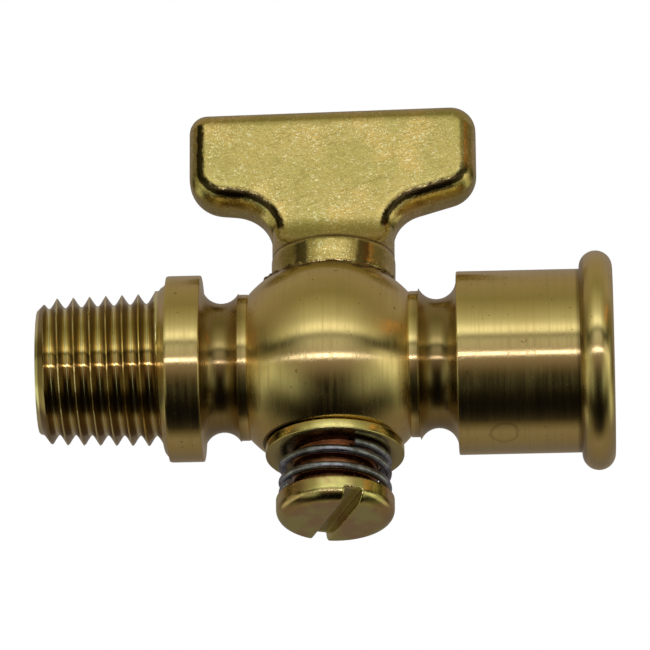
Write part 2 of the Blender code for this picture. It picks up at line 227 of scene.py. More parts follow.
def cut(obj, cutters, operation="DIFFERENCE"):
    """Applies each cutter to obj as a Boolean and removes it."""
    for cutter in cutters:
        modifier = obj.modifiers.new(cutter.name, "BOOLEAN")
        modifier.operation = operation
        modifier.object = cutter
        modifier.solver = "MANIFOLD"
    bpy.context.view_layer.update()
    evaluated = obj.evaluated_get(bpy.context.evaluated_depsgraph_get())
    old, new = obj.data, bpy.data.meshes.new_from_object(evaluated)
    obj.modifiers.clear()
    obj.data = new
    bpy.data.meshes.remove(old)
    for cutter in cutters:
        bpy.data.objects.remove(cutter)


def arc(centre, radius, start, end, steps):
    """Points on an arc in degrees, both ends included."""
    angles = [math.radians(start + (end - start) * i / steps) for i in range(steps + 1)]
    return [(centre[0] + radius * math.cos(a), centre[1] + radius * math.sin(a)) for a in angles]


def softened(points, radius):
    """The closed outline with each sharp corner off the axis cut back and rounded."""
    out = []
    for i, (u, v) in enumerate(points):
        here = Vector((u, v))
        before = Vector(points[i - 1]) - here
        after = Vector(points[(i + 1) % len(points)]) - here
        kept = abs(v) < ON_AXIS or min(before.length, after.length) < WELD
        if kept or math.degrees(before.angle(-after)) < LEAST_CORNER:
            out.append((u, v))
            continue
        back = min(radius, MOST_OF_A_SIDE * min(before.length, after.length))
        first = here + before.normalized() * back
        last = here + after.normalized() * back
        for k in range(CORNER_STEPS + 1):
            t = k / CORNER_STEPS
            point = first * (1 - t) ** 2 + here * 2 * t * (1 - t) + last * t * t
            out.append((point.x, point.y))
    return out


def turned(outline, steps, turn=None):
    """A solid of revolution about Z from a closed outline of (height, radius) points."""
    build = bmesh.new()
    rings = []
    for height, radius in outline:
        if abs(radius) < ON_AXIS:
            rings.append([build.verts.new((0, 0, height))] * steps)
            continue
        ring = []
        for k in range(steps):
            angle = 2 * math.pi * k / steps
            ring.append(build.verts.new((radius * math.cos(angle), radius * math.sin(angle), height)))
        rings.append(ring)
    solid = abs(outline[0][1]) < ON_AXIS
    for i in range(len(rings) - solid):
        first, second = rings[i], rings[(i + 1) % len(rings)]
        for k in range(steps):
            n = (k + 1) % steps
            build.faces.new(list(dict.fromkeys((first[k], first[n], second[n], second[k]))))
    if turn:
        build.transform(turn)
    return build


def swept_grid(heights, radii, turn=None):
    """A turned solid whose rows need not be level, as on a thread. Rows that meet are welded.

    Each row is a ring, and each column is an angle, with the first angle again as the last.
    """
    rows, columns = heights.shape
    angles = np.linspace(0, 2 * math.pi, columns)
    points = np.stack([radii * np.cos(angles), radii * np.sin(angles), heights], -1).reshape(-1, 3)
    build = bmesh.new()
    verts = [build.verts.new(point) for point in points]
    for i in range(rows):
        low, high = i * columns, (i + 1) % rows * columns
        for k in range(columns - 1):
            build.faces.new((verts[low + k], verts[low + k + 1], verts[high + k + 1], verts[high + k]))
    bmesh.ops.remove_doubles(build, verts=build.verts, dist=WELD)
    if turn:
        build.transform(turn)
    return build


def extruded(points, low, high):
    """An upright prism from a closed outline."""
    build = bmesh.new()
    ends = [[build.verts.new((u, v, z)) for u, v in points] for z in (low, high)]
    build.faces.new(ends[0])
    build.faces.new(ends[1])
    for i in range(len(points)):
        n = (i + 1) % len(points)
        build.faces.new((ends[0][i], ends[0][n], ends[1][n], ends[1][i]))
    return build


def moved(build, x):
    build.transform(Matrix.Translation((x, 0, 0)))
    return build


# Signed distances, which are negative inside a solid.


def outline_distance(points, x, z):
    """Distance from each (x, z) to a closed outline."""
    nearest = np.full(x.shape, 1.0)
    inside = np.zeros(x.shape, bool)
    for (x0, z0), (x1, z1) in zip(points, points[1:] + points[:1]):
        dx, dz = x1 - x0, z1 - z0
        along = np.clip(((x - x0) * dx + (z - z0) * dz) / max(dx * dx + dz * dz, 1e-18), 0, 1)
        nearest = np.minimum(nearest, np.hypot(x - x0 - along * dx, z - z0 - along * dz))
        if z0 != z1:
            crosses = (z0 > z) != (z1 > z)
            inside ^= crosses & (x < x0 + dx * (z - z0) / dz)
    return np.where(inside, -nearest, nearest)


def rounded_both(first, second, radius):
    """Where both distances are inside, with the edge between them rounded."""
    a, b = first + radius, second + radius
    return np.minimum(np.maximum(a, b), 0) + np.hypot(np.maximum(a, 0), np.maximum(b, 0)) - radius


def coved_either(first, second, radius):
    """Where either distance is inside, with a cove in the corner between them."""
    a, b = np.maximum(radius - first, 0), np.maximum(radius - second, 0)
    return np.maximum(radius, np.minimum(first, second)) - np.hypot(a, b)


def blended(first, second, width):
    """Where either distance is inside, with the crease between them softened."""
    share = np.clip(0.5 + 0.5 * (second - first) / width, 0, 1)
    return second * (1 - share) + first * share - width * share * (1 - share)


def solid_from_distance(distance, low, high, step):
    """A bmesh of the surface where distance(x, y, z) is zero, in the box from low to high."""
    axes = [np.arange(a, b, step) for a, b in zip(low, high)]
    values = distance(*np.meshgrid(*axes, indexing="ij")) / step
    grid = openvdb.FloatGrid(DISTANCE_CELLS)
    grid.copyFromArray(np.clip(values, -DISTANCE_CELLS, DISTANCE_CELLS).astype(np.float32))
    points, _, quads = grid.convertToPolygons(isovalue=0.0, adaptivity=0.0)
    points = points * step + np.array(low)
    build = bmesh.new()
    verts = [build.verts.new(point) for point in points]
    for quad in quads.tolist():
        build.faces.new([verts[i] for i in quad])
    return build


# The valve body.


def thread_blank(x):
    return THREAD_LARGE_RADIUS + THREAD_TAPER * x


def thread_surface(x, turns):
    """The threaded end's radius at x and at an angle in turns from +Y towards +Z."""
    groove_at_zero = THREAD_CREST_AT_TOP + THREAD_PITCH * (0.5 - THREAD_TOP_TURN)
    count = np.round((x - groove_at_zero) / THREAD_PITCH - turns)
    middle = groove_at_zero + THREAD_PITCH * (turns + count)
    end = -COLLAR_CONE - THREAD_RUN_OUT_GAP
    fade = np.clip((end - middle) / (THREAD_RUN_OUT_TURNS * THREAD_PITCH) + 1, 0, 1)
    off = np.abs(x - middle)
    rise = (np.hypot(off, THREAD_ROOT_ROUND) - THREAD_ROOT_ROUND) / math.tan(THREAD_HALF_ANGLE)
    groove = thread_blank(x) - THREAD_DEPTH * fade + rise + (1 - fade) * THREAD_DEPTH
    chamfer = THREAD_FACE_RADIUS + (x - BODY_LOW.x)
    cone_share = (x + COLLAR_CONE) / COLLAR_CONE
    cone_low = thread_blank(-COLLAR_CONE)
    cone = cone_low + (COLLAR_RADIUS - EDGE_ROUND - cone_low) * cone_share
    blank = np.where(x > -COLLAR_CONE, cone, np.minimum(thread_blank(x), chamfer))
    crest = blended(blank, groove, THREAD_CREST_ROUND)
    ragged = 1
    for waves, shift in RAGGED_WAVES:
        ragged = ragged * np.sin(2 * math.pi * (waves * turns + shift * count))
    near_crest = np.clip((crest - thread_blank(x)) / RAGGED_DEPTH + 1, 0, 1)
    return crest + THREAD_RAGGED * ragged * near_crest * (x < -COLLAR_CONE)


def body_outline():
    """The turned body in half section, from the collar's edge to the cup and back along the bore."""
    left_neck_x = COLLAR_WIDTH + NECK_HOLLOW
    right_neck_x = CUP_START - NECK_HOLLOW
    ring_outer = RING_TO_AXIS + RING_WIDTH
    neck_y = NECK_RADIUS + NECK_HOLLOW
    left_side = math.degrees(math.asin((BALL_X - ring_outer - left_neck_x) / NECK_HOLLOW))
    right_side = math.degrees(math.asin((right_neck_x - BALL_X - ring_outer) / NECK_HOLLOW))
    ball_side = math.degrees(math.acos(RING_TO_AXIS / BALL_RADIUS))
    end = BODY_HIGH.x
    bead_radius = BODY_HIGH.y
    cone_depth = (CUP_BORE_RADIUS - OUTLET_RADIUS) * math.tan(CUP_FLOOR_ANGLE)
    points = [(COLLAR_EDGE, COLLAR_RADIUS), (COLLAR_WIDTH, COLLAR_RADIUS)]
    points += arc((left_neck_x, neck_y), NECK_HOLLOW, 180, 270 + left_side, NECK_STEPS)
    points += [(BALL_X - ring_outer, RING_RADIUS), (BALL_X - RING_TO_AXIS, RING_RADIUS)]
    points += arc((BALL_X, 0), BALL_RADIUS, 180 - ball_side, ball_side, BALL_STEPS)
    points += [(BALL_X + RING_TO_AXIS, RING_RADIUS), (BALL_X + ring_outer, RING_RADIUS)]
    points += arc((right_neck_x, neck_y), NECK_HOLLOW, 270 - right_side, 360, NECK_STEPS)
    points += [(CUP_START, CUP_RADIUS), (end - 2 * BEAD_ROUND, CUP_RADIUS)]
    points += arc((end - BEAD_ROUND, bead_radius - BEAD_ROUND), BEAD_ROUND, 180, 0, BEAD_STEPS)
    points += [
        (end, CUP_BORE_RADIUS),
        (end - CUP_DEPTH, CUP_BORE_RADIUS),
        (end - CUP_DEPTH - cone_depth, OUTLET_RADIUS),
        (BALL_X, OUTLET_RADIUS),
        (BALL_X, INLET_RADIUS),
        (BODY_LOW.x, INLET_RADIUS),
    ]
    return softened(points, EDGE_ROUND)


def body_shell():
    """The threaded end as a sheared grid, and the rest of the outline as level rings."""
    columns = BODY_STEPS + 1
    turns = np.linspace(0, 1, columns)
    step = THREAD_PITCH / THREAD_ROWS
    start = math.floor((BODY_LOW.x - THREAD_PITCH) / step) * step
    rows = math.ceil(-start / step) + 1
    x = start + step * np.arange(rows)[:, None] + THREAD_PITCH * turns[None, :]
    x = np.clip(x, BODY_LOW.x, 0)
    radius = thread_surface(x, turns[None, :])
    outline = np.array(body_outline())
    level = np.ones((1, columns))
    heights = np.concatenate([x, outline[:, :1] * level])
    radii = np.concatenate([radius, outline[:, 1:] * level])
    return swept_grid(heights, radii, Z_TO_X)


def taper_radius(z):
    slope = (TAPER_TOP_RADIUS - TAPER_BOTTOM_RADIUS) / (TOP_SPOTFACE - BOTTOM_SPOTFACE)
    return TAPER_BOTTOM_RADIUS + slope * (z - BOTTOM_SPOTFACE)


def body_cutters():
    low, high = BOTTOM_SPOTFACE - 2 * OVERSHOOT, TOP_SPOTFACE + 2 * OVERSHOOT
    hole = [
        (low, 0),
        (low, taper_radius(low) + RUNNING_GAP),
        (high, taper_radius(high) + RUNNING_GAP),
        (high, 0),
    ]
    cutters = [mesh_object("taper_hole", moved(turned(hole, SMALL_STEPS), PLUG_X))]
    for name, face, side in (("top_face", TOP_SPOTFACE, 1), ("bottom_face", BOTTOM_SPOTFACE, -1)):
        far = side * (BALL_RADIUS + OVERSHOOT)
        disc = [(face, 0), (face, SPOTFACE_RADIUS), (far, SPOTFACE_RADIUS), (far, 0)]
        cutters.append(mesh_object(name, moved(turned(disc, SMALL_STEPS), PLUG_X)))
    return cutters


def raise_burrs(mesh):
    """A ragged lip where the upper spotface breaks out through the ball."""
    centre = Vector((BALL_X, 0, 0))
    for vertex in mesh.vertices:
        out = vertex.co - centre
        if abs(out.z - TOP_SPOTFACE) < BURR_LEVEL_MARGIN and abs(out.length - BALL_RADIUS) < BURR_EDGE_MARGIN:
            ragged = max(BURR_LEAST, BURR_USUAL + noise.noise(vertex.co / BURR_LENGTH))
            vertex.co += out.normalized() * BURR_HEIGHT * ragged


def make_body(material):
    body = mesh_object("body_casting", body_shell(), material)
    cut(body, body_cutters())
    raise_burrs(body.data)
    smooth(body)
    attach(body, "body")
    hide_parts("valve_body")


# The plug with its T handle.


def ear_outline(underside, slope, hollow, lower_corner, upper_corner, drop):
    """One half of the handle as (x, z), from its neck to its top edge.

    The underside leaves the neck's hollow and climbs at its slope to the lower corner.
    """
    half = PLUG_HIGH.x - PLUG_X
    top = PLUG_HIGH.z - drop
    hollow_x = NECK_HALF_WIDTH + hollow
    sine, cosine = math.sin(math.radians(slope)), math.cos(math.radians(slope))
    run = half - lower_corner * (1 - sine) - (hollow_x - hollow * sine)
    corner_z = underside - hollow * (1 - cosine) + run * sine / cosine + lower_corner * cosine
    points = [(NECK_HALF_WIDTH, BASE_HIGH - OVERSHOOT)]
    points += arc((hollow_x, underside - hollow), hollow, 180, 90 + slope, EAR_STEPS)
    points += arc((half - lower_corner, corner_z), lower_corner, 270 + slope, 360, EAR_STEPS)
    points += arc((half - upper_corner, top - upper_corner), upper_corner, 0, 90, EAR_TOP_STEPS)
    return points


def handle_outline():
    """The whole handle. Its forging is a little uneven, with the +X ear higher and rounder."""
    return ear_outline(*RIGHT_EAR) + [(-x, z) for x, z in reversed(ear_outline(*LEFT_EAR))]


def handle_distance(x, y, z):
    """The T handle, its neck and the round base that it stands on, with a cove between them."""
    face = outline_distance(handle_outline(), x[:, 0, :], z[:, 0, :])[:, None, :] + 0 * y
    flat = np.abs(y) - HANDLE_THICKNESS / 2
    lift = HANDLE_EDGE * (1 - math.cos(FACE_CREASE))
    blade = rounded_both(rounded_both(face, flat - lift, HANDLE_EDGE), flat, FACE_CREASE_ROUND)
    from_axis = np.hypot(x, y)
    height = BASE_HIGH - BASE_LOW
    middle = (BASE_HIGH + BASE_LOW) / 2
    disc = rounded_both(from_axis - BASE_RADIUS, np.abs(z - middle) - height / 2, EDGE_ROUND)
    cove = coved_either(blade, z - BASE_HIGH, BASE_COVE)
    cove = np.maximum(cove, from_axis - BASE_RADIUS + COVE_TO_BASE_EDGE)
    cove = np.maximum(cove, middle - z)
    return blended(np.minimum(blade, cove), disc, BASE_CREASE_ROUND)


def lower_plug_outline():
    """The taper and the post in half section as (z, radius)."""
    low = PLUG_LOW.z
    points = [
        (BASE_LOW + OVERSHOOT, 0),
        (BASE_LOW + OVERSHOOT, TAPER_TOP_RADIUS),
        (TOP_SPOTFACE, TAPER_TOP_RADIUS),
        (BOTTOM_SPOTFACE, TAPER_BOTTOM_RADIUS),
        (BOTTOM_SPOTFACE, POST_RADIUS),
        (low, POST_RADIUS),
        (low, 0),
    ]
    return softened(points, EDGE_ROUND)


def inner_thread_hole():
    """The threaded hole up the post, as one solid to cut with."""
    minor = SCREW_RADIUS - SCREW_THREAD_DEPTH + SCREW_GAP
    low = PLUG_LOW.z - OVERSHOOT
    return threaded_rod(low, SCREW_HOLE_TOP, minor, SCREW_RADIUS + SCREW_GAP, HOLE_STEPS)


def threaded_rod(low, high, root, crest, columns):
    """A screw thread about Z between two heights. Its crests are at z = pitch x turns."""
    step = SCREW_PITCH / SCREW_THREAD_ROWS
    start = math.floor((low - SCREW_PITCH) / step) * step
    rows = math.ceil((high - start) / step) + 1
    turns = np.linspace(0, 1, columns + 1)
    z = start + step * np.arange(rows)[:, None] + SCREW_PITCH * turns[None, :]
    z = np.clip(z, low, high)
    phase = z / SCREW_PITCH - turns[None, :]
    off = np.abs(phase - np.round(phase)) * SCREW_PITCH
    radius = crest - np.maximum(off - SCREW_CREST_FLAT / 2, 0) / math.tan(THREAD_HALF_ANGLE)
    level = np.ones((1, columns + 1))
    heights = np.concatenate([level * low, z, level * high])
    radii = np.concatenate([level * ALMOST_CLOSED, np.maximum(root, radius), level * ALMOST_CLOSED])
    return swept_grid(heights, radii)


def make_plug(material):
    low = (-HANDLE_REACH_X, -HANDLE_REACH_Y, BASE_LOW - OVERSHOOT)
    high = (HANDLE_REACH_X, HANDLE_REACH_Y, PLUG_HIGH.z + OVERSHOOT)
    handle = moved(solid_from_distance(handle_distance, low, high, HANDLE_CELL), PLUG_X)
    plug = mesh_object("t_handle_plug", handle, material, sharp=60)
    lower = mesh_object("lower_plug", moved(turned(lower_plug_outline(), SMALL_STEPS), PLUG_X))
    cut(plug, [lower], "UNION")
    across = BASE_RADIUS + OVERSHOOT
    port = [(-across, 0), (-across, PORT_RADIUS), (across, PORT_RADIUS), (across, 0)]
    flat = [(-across, POST_FLAT), (across, POST_FLAT), (across, across), (-across, across)]
    flat_side = extruded(flat, PLUG_LOW.z - OVERSHOOT, BOTTOM_SPOTFACE - POST_STEP)
    cutters = [
        mesh_object("port", moved(turned(port, HOLE_STEPS, Z_TO_X), PLUG_X)),
        mesh_object("flat", moved(flat_side, PLUG_X)),
        mesh_object("screw_hole", moved(inner_thread_hole(), PLUG_X)),
    ]
    cut(plug, cutters)
    smooth(plug, 40)
    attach(plug, "plug")
    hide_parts("plug_handle")


# The washer, the spring and the screw.


def make_washer(material):
    low, high, radius = WASHER_LOW.z, WASHER_HIGH.z, WASHER_HIGH.y
    disc = softened([(low, 0), (low, radius), (high, radius), (high, 0)], EDGE_ROUND)
    washer = mesh_object("drive_washer", moved(turned(disc, SMALL_STEPS), PLUG_X), material)
    hole_radius = POST_RADIUS + WASHER_GAP
    side = math.degrees(math.asin((POST_FLAT + WASHER_GAP) / hole_radius))
    outline = arc((0, 0), hole_radius, 180 - side, 360 + side, SCREW_STEPS)
    hole = extruded(outline, low - OVERSHOOT, high + OVERSHOOT)
    cut(washer, [mesh_object("keyed_hole", moved(hole, PLUG_X))])
    smooth(washer)
    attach(washer, "plug")
    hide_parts("key_washer")


def spring_middle(fraction):
    """The wire's middle at a fraction of its length. The end turns lie closer than the middle ones."""
    eased = fraction - SPRING_EASE * math.sin(2 * math.pi * fraction) / (2 * math.pi)
    high = SPRING_HIGH.z - SPRING_WIRE_RADIUS
    low = SPRING_LOW.z + SPRING_WIRE_RADIUS
    angle = 2 * math.pi * (SPRING_START_TURN + SPRING_TURNS * fraction)
    out = Vector((math.cos(angle), math.sin(angle), 0))
    return SPRING_RADIUS * out + Vector((PLUG_X, 0, high + (low - high) * eased)), out


def make_spring(material):
    """A round wire with square ends. Its top rests on the washer."""
    build = bmesh.new()
    steps = round(SPRING_TURNS * SPRING_STEPS_A_TURN)
    rows = []
    for i in range(steps + 1):
        middle, out = spring_middle(i / steps)
        row = []
        for k in range(SPRING_SIDES):
            side = 2 * math.pi * k / SPRING_SIDES
            offset = math.cos(side) * out + math.sin(side) * Vector((0, 0, 1))
            row.append(build.verts.new(middle + SPRING_WIRE_RADIUS * offset))
        rows.append(row)
    for first, second in zip(rows, rows[1:]):
        for k in range(SPRING_SIDES):
            n = (k + 1) % SPRING_SIDES
            build.faces.new((first[k], first[n], second[n], second[k]))
    build.faces.new(rows[0])
    build.faces.new(rows[-1])
    spring = mesh_object("wire_spring", build, material, sharp=50)
    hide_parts("tension_spring")
    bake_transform(spring)


def head_distance(x, y, z):
    """The screw's head: a disc with a rounded lower edge and a slot across its end."""
    from_axis = np.hypot(x, y)
    low = SCREW_LOW.z
    disc = rounded_both(from_axis - HEAD_RADIUS, low - z, HEAD_ROUND)
    disc = rounded_both(disc, z - HEAD_HIGH, EDGE_ROUND)
    across = np.abs(x * math.cos(SLOT_ANGLE) + y * math.sin(SLOT_ANGLE))
    slot = np.maximum(across - SLOT_WIDTH / 2, z - low - SLOT_DEPTH)
    return rounded_both(disc, -slot, SLOT_EDGE_ROUND)


def make_screw(material):
    reach = HEAD_RADIUS + HEAD_MARGIN
    low = (-reach, -reach, SCREW_LOW.z - HEAD_MARGIN)
    high = (reach, reach, HEAD_HIGH + HEAD_MARGIN)
    head = moved(solid_from_distance(head_distance, low, high, HEAD_CELL), PLUG_X)
    screw = mesh_object("slotted_screw", head, material, sharp=50)
    relief = SCREW_RADIUS - SCREW_THREAD_DEPTH
    neck_low = HEAD_HIGH - SCREW_NECK_OVERLAP
    neck_high = HEAD_HIGH + SCREW_RELIEF
    neck = [(neck_low, 0), (neck_low, relief), (neck_high, relief), (neck_high, 0)]
    rod_low = neck_high - SCREW_ROD_OVERLAP
    rod = threaded_rod(rod_low, SCREW_HIGH.z, relief, SCREW_RADIUS, SCREW_STEPS)
    cut(screw, [mesh_object("screw_neck", moved(turned(neck, SCREW_STEPS // 2), PLUG_X))], "UNION")
    cut(screw, [mesh_object("screw_rod", moved(rod, PLUG_X))], "UNION")
    smooth(screw, 40)
    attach(screw, "screw")
    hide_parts("tension_screw")


# Materials.


# The finishes' colours.
# A dark brown used for dirt and stains, and also for painted shade.
DIRT_AND_SHADE = (0.16, 0.095, 0.035, 1)
TURNED_BRASS = (0.83, 0.66, 0.33)
TURNED_TONES = ((0.86, 0.70, 0.36, 1), (0.78, 0.60, 0.30, 1))
TURNED_WARM = (0.80, 0.55, 0.26, 1)
TURNED_STREAK = (0.66, 0.53, 0.25, 1)
# Painted highlights along the thread's crests and roots.
PAINTED_HIGHLIGHT = (1.0, 0.93, 0.62, 1)
FORGED_BRASS = (0.84, 0.69, 0.33)
FORGED_TONES = ((0.68, 0.53, 0.225, 1), (0.60, 0.50, 0.20, 1))
FORGED_WARM = (0.88, 0.60, 0.25, 1)
FORGED_GRAIN = (0.50, 0.38, 0.15, 1)
GLINT = (1.0, 0.95, 0.70, 1)
# Painted glints, in larger patches than GLINT.
GLINT_PATCH = (1.0, 0.94, 0.70, 1)
RUBBED_DARK = (0.46, 0.36, 0.13, 1)
# Near black, for painted shade on the handle.
SHADE = (0.028, 0.019, 0.007, 1)
# Painted shade for the post inside the spring.
POST_SHADE = (0.30, 0.12, 0.06, 1)
WASHER_BRASS = (0.82, 0.74, 0.36)
WASHER_TONES = ((0.84, 0.76, 0.37, 1), (0.78, 0.62, 0.28, 1))
SCREW_BRASS = (0.83, 0.75, 0.34)
SCREW_TONES = ((0.72, 0.66, 0.29, 1), (0.66, 0.47, 0.26, 1))
STEEL = (0.45, 0.49, 0.68)
STEEL_TONES = ((*STEEL, 1), (0.22, 0.22, 0.28, 1))

# Each texture's scale, detail and, for most, roughness.
TOOL_RINGS = (5200, 4.0, 0.65)
STREAKS = (1.0, 3.0, 0.6)
STREAK_STRETCH = (3200, 130, 130)
PATCHES = (260, 4.0, 0.6)
CLOUD = (90, 3.0, 0.55)
SPECKS = (6000, 2.0, 0.5)
STAIN_EDGE = (800, 2.0)
DOTS = (2600, 1.0)
GRAIN = (4400, 4.0, 0.7)
DENTS = (1500, 3.0, 0.6)
GREEN = (150, 3.0, 0.5)
GLINTS = (6800, 2.0, 0.6)
WEAR_AND_GLINTS = (2300, 3.0, 0.7)
SCRATCHES = (1.0, 1.0, 0.4)
# Each set of scratches' turn and how it is stretched.
SCRATCH_SETS = ((0.35, (5200, 5200, 520)), (1.9, (4800, 4800, 480)))
FINE = (3000, 3.0, 0.6)
WASHER_PATCHES = (420, 4.0, 0.6)
SCREW_RINGS = (4200, 3.0, 0.6)
SCREW_PATCHES = (380, 4.0, 0.6)
STEEL_PATCHES = (900, 3.0, 0.6)
STEEL_STRETCH = (700, 700, 6000)
TURNED_RELIEF = 0.004 * MM
FORGED_RELIEF = 0.026 * MM
WASHER_RELIEF = 0.01 * MM
FINE_RELIEF = 0.008 * MM

# Where marks begin and end on the body: along x, up z, out from an axis, or down into the thread.
# A third value is how softly they end.
THREAD_END = (-0.9 * MM, -0.7 * MM)
# Where the thread's flanks are darker, as depths into the thread.
DARKER_FLANKS = (0.32 * MM, 0.88 * MM, 0.08 * MM)
THREAD_FLANKS = (0.25 * MM, 0.95 * MM, 0.06 * MM)
THREAD_SMOOTHER = (-0.6 * MM, 0)
HOLLOW_DIRT = (NECK_RADIUS + 0.2 * MM, NECK_RADIUS + 1.9 * MM)
COLLAR_DIRT = (0, 0.5 * MM)
BESIDE_PLUG = (6.6 * MM, 7.0 * MM)
BY_HANDLE = (6.5 * MM, 7.6 * MM)
BY_HANDLE_WANDER = 0.8 * MM
BY_WASHER = (-7.4 * MM, -7.3 * MM)
BEAD_START = BODY_HIGH.x - 2 * BEAD_ROUND
BEAD_DIRT = (BEAD_START - 0.1 * MM, BEAD_START + 0.15 * MM, 0.35 * MM)
STAIN_CENTRE = (29.0 * MM, -2.06 * MM, -7.7 * MM)
STAIN_RING = (1.5 * MM, 1.56 * MM, 0.2 * MM)
STAIN_WANDER = 0.7 * MM
COLLAR_WEAR = (-1.2 * MM, 0.1 * MM, 0.3 * MM)
CUP_WEAR = (CUP_START, CUP_START + 0.5 * MM, 0.5 * MM)

# The same on the handle, the washer and the screw.
EDGE_SHADE = (10.4 * MM, 11.2 * MM)
# Where the handle's painted edge shade is made fainter.
LESS_SHADE_X = (22 * MM, 23 * MM)
LESS_SHADE_Z = (17 * MM, 19 * MM)
# Painted dark reflections down the sides of the handle's base.
BASE_SHADE_BAND = (3.0 * MM, 3.6 * MM, 0.35 * MM)
BASE_SHADE_WANDER = 1.2 * MM
BASE_SHADE_END = (9.6 * MM, 10.0 * MM)
LINE_UNDER_COVE = (9.98 * MM, 10.12 * MM, 0.12 * MM)
LINE_STRONGER = (2.6 * MM, 4.4 * MM)
# Painted shade along the foot of the cove.
COVE_SHADE = (-0.2 * MM, 0.08 * MM, 0.25 * MM)
COVE_SHADE_RISE = 0.47
COVE_START = (BASE_HIGH, BASE_HIGH + 0.1 * MM)
# Where the post's painted shade ends.
POST_SHADE_END = (-8.2 * MM, -7.6 * MM)
WASHER_UNDERSIDE = (WASHER_LOW.z + 0.05 * MM, WASHER_LOW.z + 0.2 * MM)
INSIDE_SPRING = (4.4 * MM, 5.6 * MM)
SLOT_FLOOR = (SCREW_LOW.z + SLOT_DEPTH - 0.1 * MM, SCREW_LOW.z + SLOT_DEPTH)
HEAD_MIDDLE = (HEAD_RADIUS - 0.6 * MM, HEAD_RADIUS - 0.4 * MM)


class Nodes:
    """Short calls for building a node tree."""

    def __init__(self, tree):
        self.tree = tree
        tree.nodes.clear()

    def add(self, kind, inputs=None, **settings):
        node = self.tree.nodes.new("ShaderNode" + kind)
        for name, value in settings.items():
            setattr(node, name, value)
        for key, value in (inputs or {}).items():
            self.put(node.inputs[key], value)
        return node

    def put(self, socket, value):
        if isinstance(value, bpy.types.NodeSocket):
            self.tree.links.new(value, socket)
        else:
            socket.default_value = value

    def math(self, operation, *values, clamp=False):
        node = self.add("Math", operation=operation, use_clamp=clamp)
        for socket, value in zip(node.inputs, values):
            self.put(socket, value)
        return node.outputs[0]

    def times(self, first, second):
        return self.math("MULTIPLY", first, second)

    def minus(self, first, second):
        return self.math("SUBTRACT", first, second)

    def most(self, first, second):
        return self.math("MAXIMUM", first, second)

    def ranged(self, value, low, high, to_low=0.0, to_high=1.0):
        inputs = {"Value": value, "From Min": low, "From Max": high, "To Min": to_low, "To Max": to_high}
        return self.add("MapRange", inputs, interpolation_type="SMOOTHSTEP").outputs[0]

    def band(self, value, low, high, soft):
        """1 between two values, falling to 0 over soft outside them."""
        up = self.ranged(value, low - soft, low)
        return self.times(up, self.ranged(value, high, high + soft, 1.0, 0.0))

    def mixed(self, share, first, second, blend="MIX"):
        node = self.add("Mix", data_type="RGBA", blend_type=blend)
        self.put(node.inputs[0], share)
        self.put(node.inputs[6], first)
        self.put(node.inputs[7], second)
        return node.outputs[2]

    def ramp(self, share, stops):
        """A colour ramp through (place, (red, green, blue)) stops."""
        node = self.add("ValToRGB", {"Fac": share})
        elements = node.color_ramp.elements
        while len(elements) < len(stops):
            elements.new(1.0)
        for element, (place, colour) in zip(elements, stops):
            element.position = place
            element.color = (*colour, 1)
        return node.outputs[0]

    def noise(self, place, scale, detail=3.0, roughness=0.5, dimensions="3D"):
        inputs = {"Scale": scale, "Detail": detail, "Roughness": roughness}
        node = self.add("TexNoise", inputs, noise_dimensions=dimensions)
        self.put(node.inputs["W" if dimensions == "1D" else "Vector"], place)
        return node.outputs[0]

    def split(self, place):
        return self.add("SeparateXYZ", {"Vector": place}).outputs

    def distance_of(self, first, second):
        """The distance from an axis, from the two coordinates across it."""
        squares = self.math("MULTIPLY_ADD", first, first, self.times(second, second))
        return self.math("SQRT", squares)

    def own(self, name):
        """A place or a direction in the object's own axes."""
        return self.add("TexCoord").outputs[name]

    def stretched(self, place, x, y, z):
        return self.add("Mapping", {"Vector": place, "Scale": (x, y, z)}).outputs[0]

    def about_plug(self, place):
        """The height z, then the distance from the plug's axis."""
        centred = self.add("Mapping", {"Vector": place, "Location": (-PLUG_X, 0.0, 0.0)}).outputs[0]
        x, y, z = self.split(centred)
        return z, self.distance_of(x, y)


def metal(name, colour, roughness, anisotropic=0.0, tangent_axis=None):
    """A new metal material: its node helper, its shader and the object's own coordinates."""
    material = bpy.data.materials.new(name)
    material.use_nodes = True
    nodes = Nodes(material.node_tree)
    shader = nodes.add("BsdfPrincipled", {"Base Color": (*colour, 1), "Metallic": 1.0})
    shader.inputs["Roughness"].default_value = roughness
    output = nodes.add("OutputMaterial")
    nodes.put(output.inputs["Surface"], shader.outputs[0])
    if tangent_axis:
        shader.inputs["Anisotropic"].default_value = anisotropic
        shader.inputs["Anisotropic Rotation"].default_value = 0.25
        tangent = nodes.add("Tangent", direction_type="RADIAL", axis=tangent_axis)
        nodes.put(shader.inputs["Tangent"], tangent.outputs[0])
    return material, nodes, shader, nodes.own("Object")


def finish(nodes, shader, colour, rough, height, strength, relief):
    """Links a metal's colour, its roughness and the bumps of its surface."""
    inputs = {"Height": height, "Strength": strength, "Distance": relief}
    nodes.put(shader.inputs["Base Color"], colour)
    nodes.put(shader.inputs["Roughness"], rough)
    nodes.put(shader.inputs["Normal"], nodes.add("Bump", inputs).outputs[0])


def turned_tone(nodes, place, patches, streaks):
    """Two close tones of brass, with warmer patches and darker streaks."""
    cloud = nodes.noise(place, *CLOUD)
    tone = nodes.mixed(nodes.ranged(cloud, 0.35, 0.7), *TURNED_TONES)
    tone = nodes.mixed(nodes.ranged(patches, 0.55, 0.8, 0.0, 0.5), tone, TURNED_WARM)
    return nodes.mixed(nodes.ranged(streaks, 0.45, 0.75, 0.0, 0.35), tone, TURNED_STREAK)


